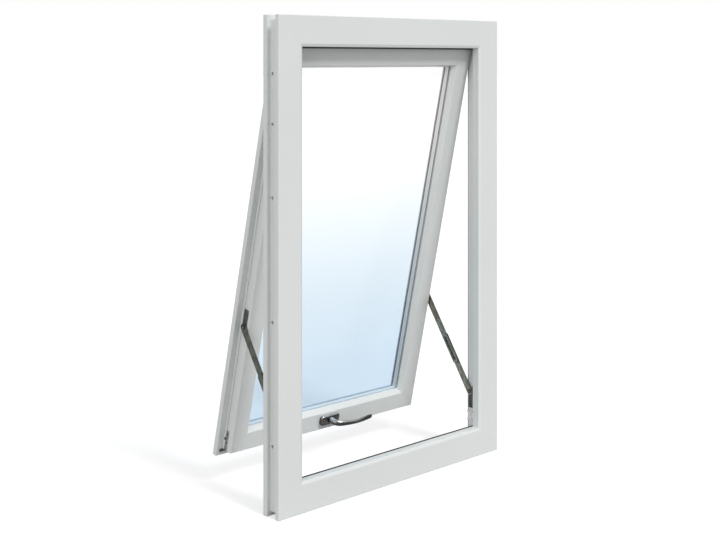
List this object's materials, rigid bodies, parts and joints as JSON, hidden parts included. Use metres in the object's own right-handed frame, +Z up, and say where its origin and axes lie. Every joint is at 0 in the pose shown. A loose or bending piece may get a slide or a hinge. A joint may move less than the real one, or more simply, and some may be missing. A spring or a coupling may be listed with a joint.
{
  "type": "top-hung outward-opening window",
  "caption": "White plastic-framed double-glazed window, its sash hung at the top and held open at the bottom by stays, with a lever handle.",
  "frame": {"origin": "on the underside of the sill's room-side foot, in the middle of the window's width", "axes": "+X along the window to the right as seen from the room, +Y towards the outside, +Z up"},
  "size_m": [0.79, 0.3203, 1.19],
  "materials": {
    "white_profile": "satin white",
    "seal_rubber": "matt black",
    "grey_rubber": "matt grey",
    "pane_glass": "clear",
    "spacer_bar": "mill",
    "white_coating": "white coated",
    "stay_steel": "dull zinc",
    "lock_steel": "dull zinc",
    "handle_metal": "satin pewter"
  },
  "bodies": {
    "frame": {"frame_gasket_inner": "seal_rubber", "frame_gasket_outer": "grey_rubber", "frame_head": "white_profile", "frame_jamb_left": "white_profile", "frame_jamb_right": "white_profile", "frame_sill": "white_profile", "hinge_frame_leaf_left": "white_coating", "hinge_frame_leaf_right": "white_coating", "lock_keep_left": "white_coating", "lock_keep_right": "white_coating", "stay_frame_plate_left": "stay_steel", "stay_frame_plate_right": "stay_steel"},
    "sash": {"bead_bottom": "white_profile", "bead_left": "white_profile", "bead_right": "white_profile", "bead_top": "white_profile", "glass_inner": "pane_glass", "glass_outer": "pane_glass", "glass_spacer": "spacer_bar", "glazing_gasket_inner": "grey_rubber", "glazing_gasket_outer": "grey_rubber", "handle_rosette": "handle_metal", "hinge_sash_leaf_left": "white_coating", "hinge_sash_leaf_right": "white_coating", "lock_plate_left": "lock_steel", "lock_plate_right": "lock_steel", "sash_bottom_rail": "white_profile", "sash_stile_left": "white_profile", "sash_stile_right": "white_profile", "sash_top_rail": "white_profile", "stay_sash_plate_left": "stay_steel", "stay_sash_plate_right": "stay_steel"},
    "handle": {"handle_lever": "handle_metal"},
    "lower_arm_left": {"stay_lower_arm_left": "stay_steel"},
    "lower_arm_right": {"stay_lower_arm_right": "stay_steel"},
    "upper_arm_left": {"stay_upper_arm_left": "stay_steel"},
    "upper_arm_right": {"stay_upper_arm_right": "stay_steel"}
  },
  "joints": [
    {"name": "sash_hinge", "type": "hinge", "parent": "frame", "child": "sash", "pos_m": [0, 0.06, 1.148], "axis": [1, 0, 0], "range_deg": [-12.7, 0]},
    {"name": "handle_turn", "type": "hinge", "parent": "sash", "child": "handle", "pos_m": [0, 0.25671, 0.11138], "axis": [0, -0.9755, -0.2198], "range_deg": [0, 90]},
    {"name": "lower_arm_turn_left", "type": "hinge", "parent": "frame", "child": "lower_arm_left", "pos_m": [0, 0.044, 0.164], "axis": [-1, 0, 0], "range_deg": [-33.76, 0.01]},
    {"name": "upper_arm_turn_left", "type": "hinge", "parent": "sash", "child": "upper_arm_left", "pos_m": [0, 0.20493, 0.4139], "axis": [-1, 0, 0], "range_deg": [-46.46, 0.01]},
    {"name": "lower_arm_turn_right", "type": "hinge", "parent": "frame", "child": "lower_arm_right", "pos_m": [0, 0.044, 0.164], "axis": [-1, 0, 0], "range_deg": [-33.76, 0.01]},
    {"name": "upper_arm_turn_right", "type": "hinge", "parent": "sash", "child": "upper_arm_right", "pos_m": [0, 0.20493, 0.4139], "axis": [-1, 0, 0], "range_deg": [-46.46, 0.01]}
  ],
  "couplings": [
    {"joint": "lower_arm_turn_left", "follows": "sash_hinge", "ratio": 2.6576},
    {"joint": "upper_arm_turn_left", "follows": "sash_hinge", "ratio": 3.6576},
    {"joint": "lower_arm_turn_right", "follows": "sash_hinge", "ratio": 2.6576},
    {"joint": "upper_arm_turn_right", "follows": "sash_hinge", "ratio": 3.6576}
  ]
}
